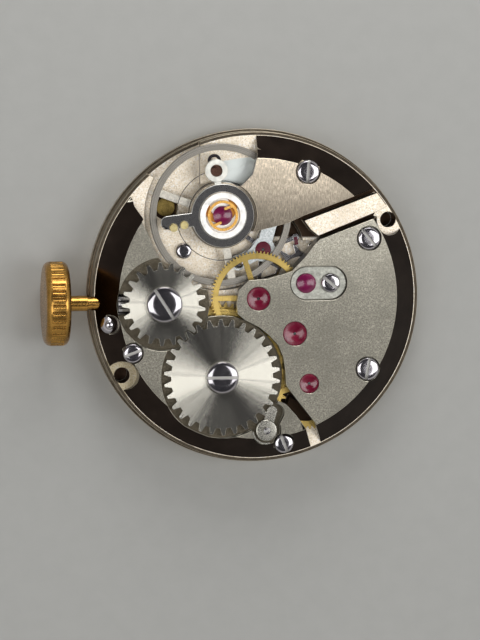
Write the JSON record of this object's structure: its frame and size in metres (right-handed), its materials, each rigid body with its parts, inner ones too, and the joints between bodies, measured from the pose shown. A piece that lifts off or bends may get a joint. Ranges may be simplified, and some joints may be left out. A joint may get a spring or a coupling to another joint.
{
  "type": "mechanical watch movement",
  "caption": "Round hand-wound watch movement with bevelled bridges, visible winding wheels, balance, gear train, stem and ribbed crown",
  "frame": {"origin": "centre of the dial seat, on the axis of the hands", "axes": "+Z from the dial seat to the bridges, +X away from the crown, +Y towards the balance"},
  "size_m": [0.0295, 0.026, 0.0064],
  "materials": {
    "nickel_plate": "fine matt grain, nickel plated brass",
    "bright_steel": "circular brushed steel",
    "polished_steel": "black polished steel",
    "train_brass": "gilt brass",
    "ruby": "polished synthetic ruby",
    "gold_plate": "polished gilt crown",
    "spring_steel": "blued grey spring alloy",
    "shock_gold": "gilt shock spring"
  },
  "bodies": {
    "frame": {"main_plate": "nickel_plate", "barrel_bridge": "nickel_plate", "train_bridge": "nickel_plate", "balance_cock": "nickel_plate", "pallet_cock": "nickel_plate", "center_tube": "train_brass", "upper_jewels": "ruby", "lower_jewels": "ruby", "escape_cap_plate": "polished_steel", "cap_jewels": "ruby", "shock_blocks": "polished_steel", "shock_springs": "shock_gold", "large_bridge_screws": "polished_steel", "medium_bridge_screws": "polished_steel", "small_screws": "polished_steel", "setting_lever_screw": "polished_steel", "steady_pins": "polished_steel", "crown_wheel_core": "polished_steel", "crown_wheel_screw": "polished_steel", "click_spring": "bright_steel", "setting_lever_jumper": "bright_steel"},
    "barrel": {"barrel_drum": "train_brass", "barrel_cover": "train_brass", "mainspring": "spring_steel"},
    "winding_core": {"barrel_arbor": "bright_steel", "ratchet_wheel": "bright_steel", "ratchet_screw": "polished_steel"},
    "crown_wheel_body": {"crown_wheel": "bright_steel"},
    "click_body": {"click": "polished_steel"},
    "winding_pinion_body": {"winding_pinion": "bright_steel"},
    "stem_body": {"winding_stem": "bright_steel", "crown": "gold_plate"},
    "clutch_body": {"sliding_clutch": "bright_steel"},
    "lever_body": {"setting_lever": "bright_steel"},
    "yoke_body": {"yoke": "bright_steel"},
    "great_body": {"great_wheel": "train_brass", "great_pinion": "polished_steel", "motion_driver": "polished_steel"},
    "third_body": {"third_wheel": "train_brass", "third_pinion": "polished_steel"},
    "fourth_body": {"fourth_wheel": "train_brass", "fourth_pinion": "polished_steel"},
    "escape_body": {"escape_wheel": "bright_steel", "escape_pinion": "polished_steel"},
    "pallet_body": {"pallet_fork": "bright_steel", "pallet_stones": "ruby", "pallet_arbor": "polished_steel"},
    "balance_body": {"balance_wheel": "train_brass", "balance_staff": "polished_steel", "impulse_roller": "bright_steel", "hairspring_collet": "train_brass"},
    "stud_body": {"stud_carrier": "bright_steel", "hairspring_stud": "polished_steel", "hairspring": "spring_steel"},
    "regulator_body": {"regulator": "bright_steel", "curb_pins": "train_brass"},
    "cannon_body": {"cannon_pinion": "polished_steel"},
    "minute_body": {"minute_wheel": "bright_steel"},
    "hour_body": {"hour_wheel": "train_brass"},
    "setting_body": {"setting_wheel": "bright_steel"}
  },
  "joints": [
    {"name": "third_turn", "type": "hinge", "parent": "frame", "child": "third_body", "pos_m": [0.00285, -0.00274, 0], "axis": [0, 0, 1], "continuous": true},
    {"name": "barrel_turn", "type": "hinge", "parent": "frame", "child": "barrel", "pos_m": [-0.00284, -0.00605, 0], "axis": [0, 0, 1], "continuous": true},
    {"name": "great_turn", "type": "hinge", "parent": "frame", "child": "great_body", "pos_m": [0.00397, -0.00663, 0], "axis": [0, 0, 1], "continuous": true},
    {"name": "fourth_turn", "type": "hinge", "parent": "frame", "child": "fourth_body", "pos_m": [0, 0, 0], "axis": [0, 0, 1], "continuous": true},
    {"name": "escape_turn", "type": "hinge", "parent": "frame", "child": "escape_body", "pos_m": [0.00374, 0.00115, 0], "axis": [0, 0, 1], "continuous": true},
    {"name": "cannon_turn", "type": "hinge", "parent": "frame", "child": "cannon_body", "pos_m": [0, 0, 0], "axis": [0, 0, 1], "continuous": true},
    {"name": "minute_turn", "type": "hinge", "parent": "frame", "child": "minute_body", "pos_m": [-0.00125, -0.00525, 0], "axis": [0, 0, 1], "continuous": true},
    {"name": "hour_turn", "type": "hinge", "parent": "frame", "child": "hour_body", "pos_m": [0, 0, 0], "axis": [0, 0, 1], "continuous": true},
    {"name": "setting_turn", "type": "hinge", "parent": "frame", "child": "setting_body", "pos_m": [-0.00561, -0.00119, 0], "axis": [0, 0, 1], "continuous": true},
    {"name": "pallet_swing", "type": "hinge", "parent": "frame", "child": "pallet_body", "pos_m": [0.00059, 0.0037, 0], "axis": [0, 0, 1], "range_deg": [-4, 4]},
    {"name": "balance_swing", "type": "hinge", "parent": "frame", "child": "balance_body", "pos_m": [-0.00278, 0.00643, 0], "axis": [0, 0, 1], "range_deg": [-270, 270]},
    {"name": "regulator_turn", "type": "hinge", "parent": "frame", "child": "regulator_body", "pos_m": [-0.00278, 0.00643, 0], "axis": [0, 0, 1], "range_deg": [-15, 15]},
    {"name": "stud_carrier_turn", "type": "hinge", "parent": "frame", "child": "stud_body", "pos_m": [-0.00278, 0.00643, 0], "axis": [0, 0, 1], "range_deg": [-5, 5]},
    {"name": "ratchet_turn", "type": "hinge", "parent": "frame", "child": "winding_core", "pos_m": [-0.00284, -0.00605, 0], "axis": [0, 0, 1], "continuous": true},
    {"name": "crown_wheel_turn", "type": "hinge", "parent": "frame", "child": "crown_wheel_body", "pos_m": [-0.00734, -0.00034, 0], "axis": [0, 0, 1], "continuous": true},
    {"name": "click_swing", "type": "hinge", "parent": "frame", "child": "click_body", "pos_m": [0.00063, -0.01024, 0], "axis": [0, 0, -1], "range_deg": [0, 10]},
    {"name": "crown_turn", "type": "hinge", "parent": "frame", "child": "winding_pinion_body", "pos_m": [0, -0.00034, 0.0017], "axis": [1, 0, 0], "continuous": true},
    {"name": "crown_pull", "type": "slide", "parent": "winding_pinion_body", "child": "stem_body", "axis": [-1, 0, 0], "range_m": [0, 0.00082]},
    {"name": "clutch_slide", "type": "slide", "parent": "winding_pinion_body", "child": "clutch_body", "axis": [1, 0, 0], "range_m": [0, 0.000601]},
    {"name": "setting_lever_swing", "type": "hinge", "parent": "frame", "child": "lever_body", "pos_m": [-0.01148, -0.00193, 0], "axis": [0, 0, 1], "range_deg": [0, 28.88]},
    {"name": "yoke_swing", "type": "hinge", "parent": "frame", "child": "yoke_body", "pos_m": [-0.008, -0.0036, 0], "axis": [0, 0, -1], "range_deg": [0, 15.69]}
  ],
  "couplings": [
    {"joint": "great_turn", "follows": "third_turn", "ratio": -0.125},
    {"joint": "barrel_turn", "follows": "third_turn", "ratio": 0.030303},
    {"joint": "fourth_turn", "follows": "third_turn", "ratio": -7.5},
    {"joint": "escape_turn", "follows": "third_turn", "ratio": 75},
    {"joint": "cannon_turn", "follows": "third_turn", "ratio": -0.125},
    {"joint": "minute_turn", "follows": "third_turn", "ratio": 0.041667},
    {"joint": "hour_turn", "follows": "third_turn", "ratio": -0.010417},
    {"joint": "setting_turn", "follows": "third_turn", "ratio": -0.088235},
    {"joint": "crown_turn", "follows": "ratchet_turn", "ratio": -3.3333},
    {"joint": "crown_wheel_turn", "follows": "ratchet_turn", "ratio": -1.4286},
    {"joint": "clutch_slide", "follows": "crown_pull", "ratio": 0.73171},
    {"joint": "setting_lever_swing", "follows": "crown_pull", "rad_per_m": 614.5},
    {"joint": "yoke_swing", "follows": "crown_pull", "rad_per_m": 333.63}
  ]
}
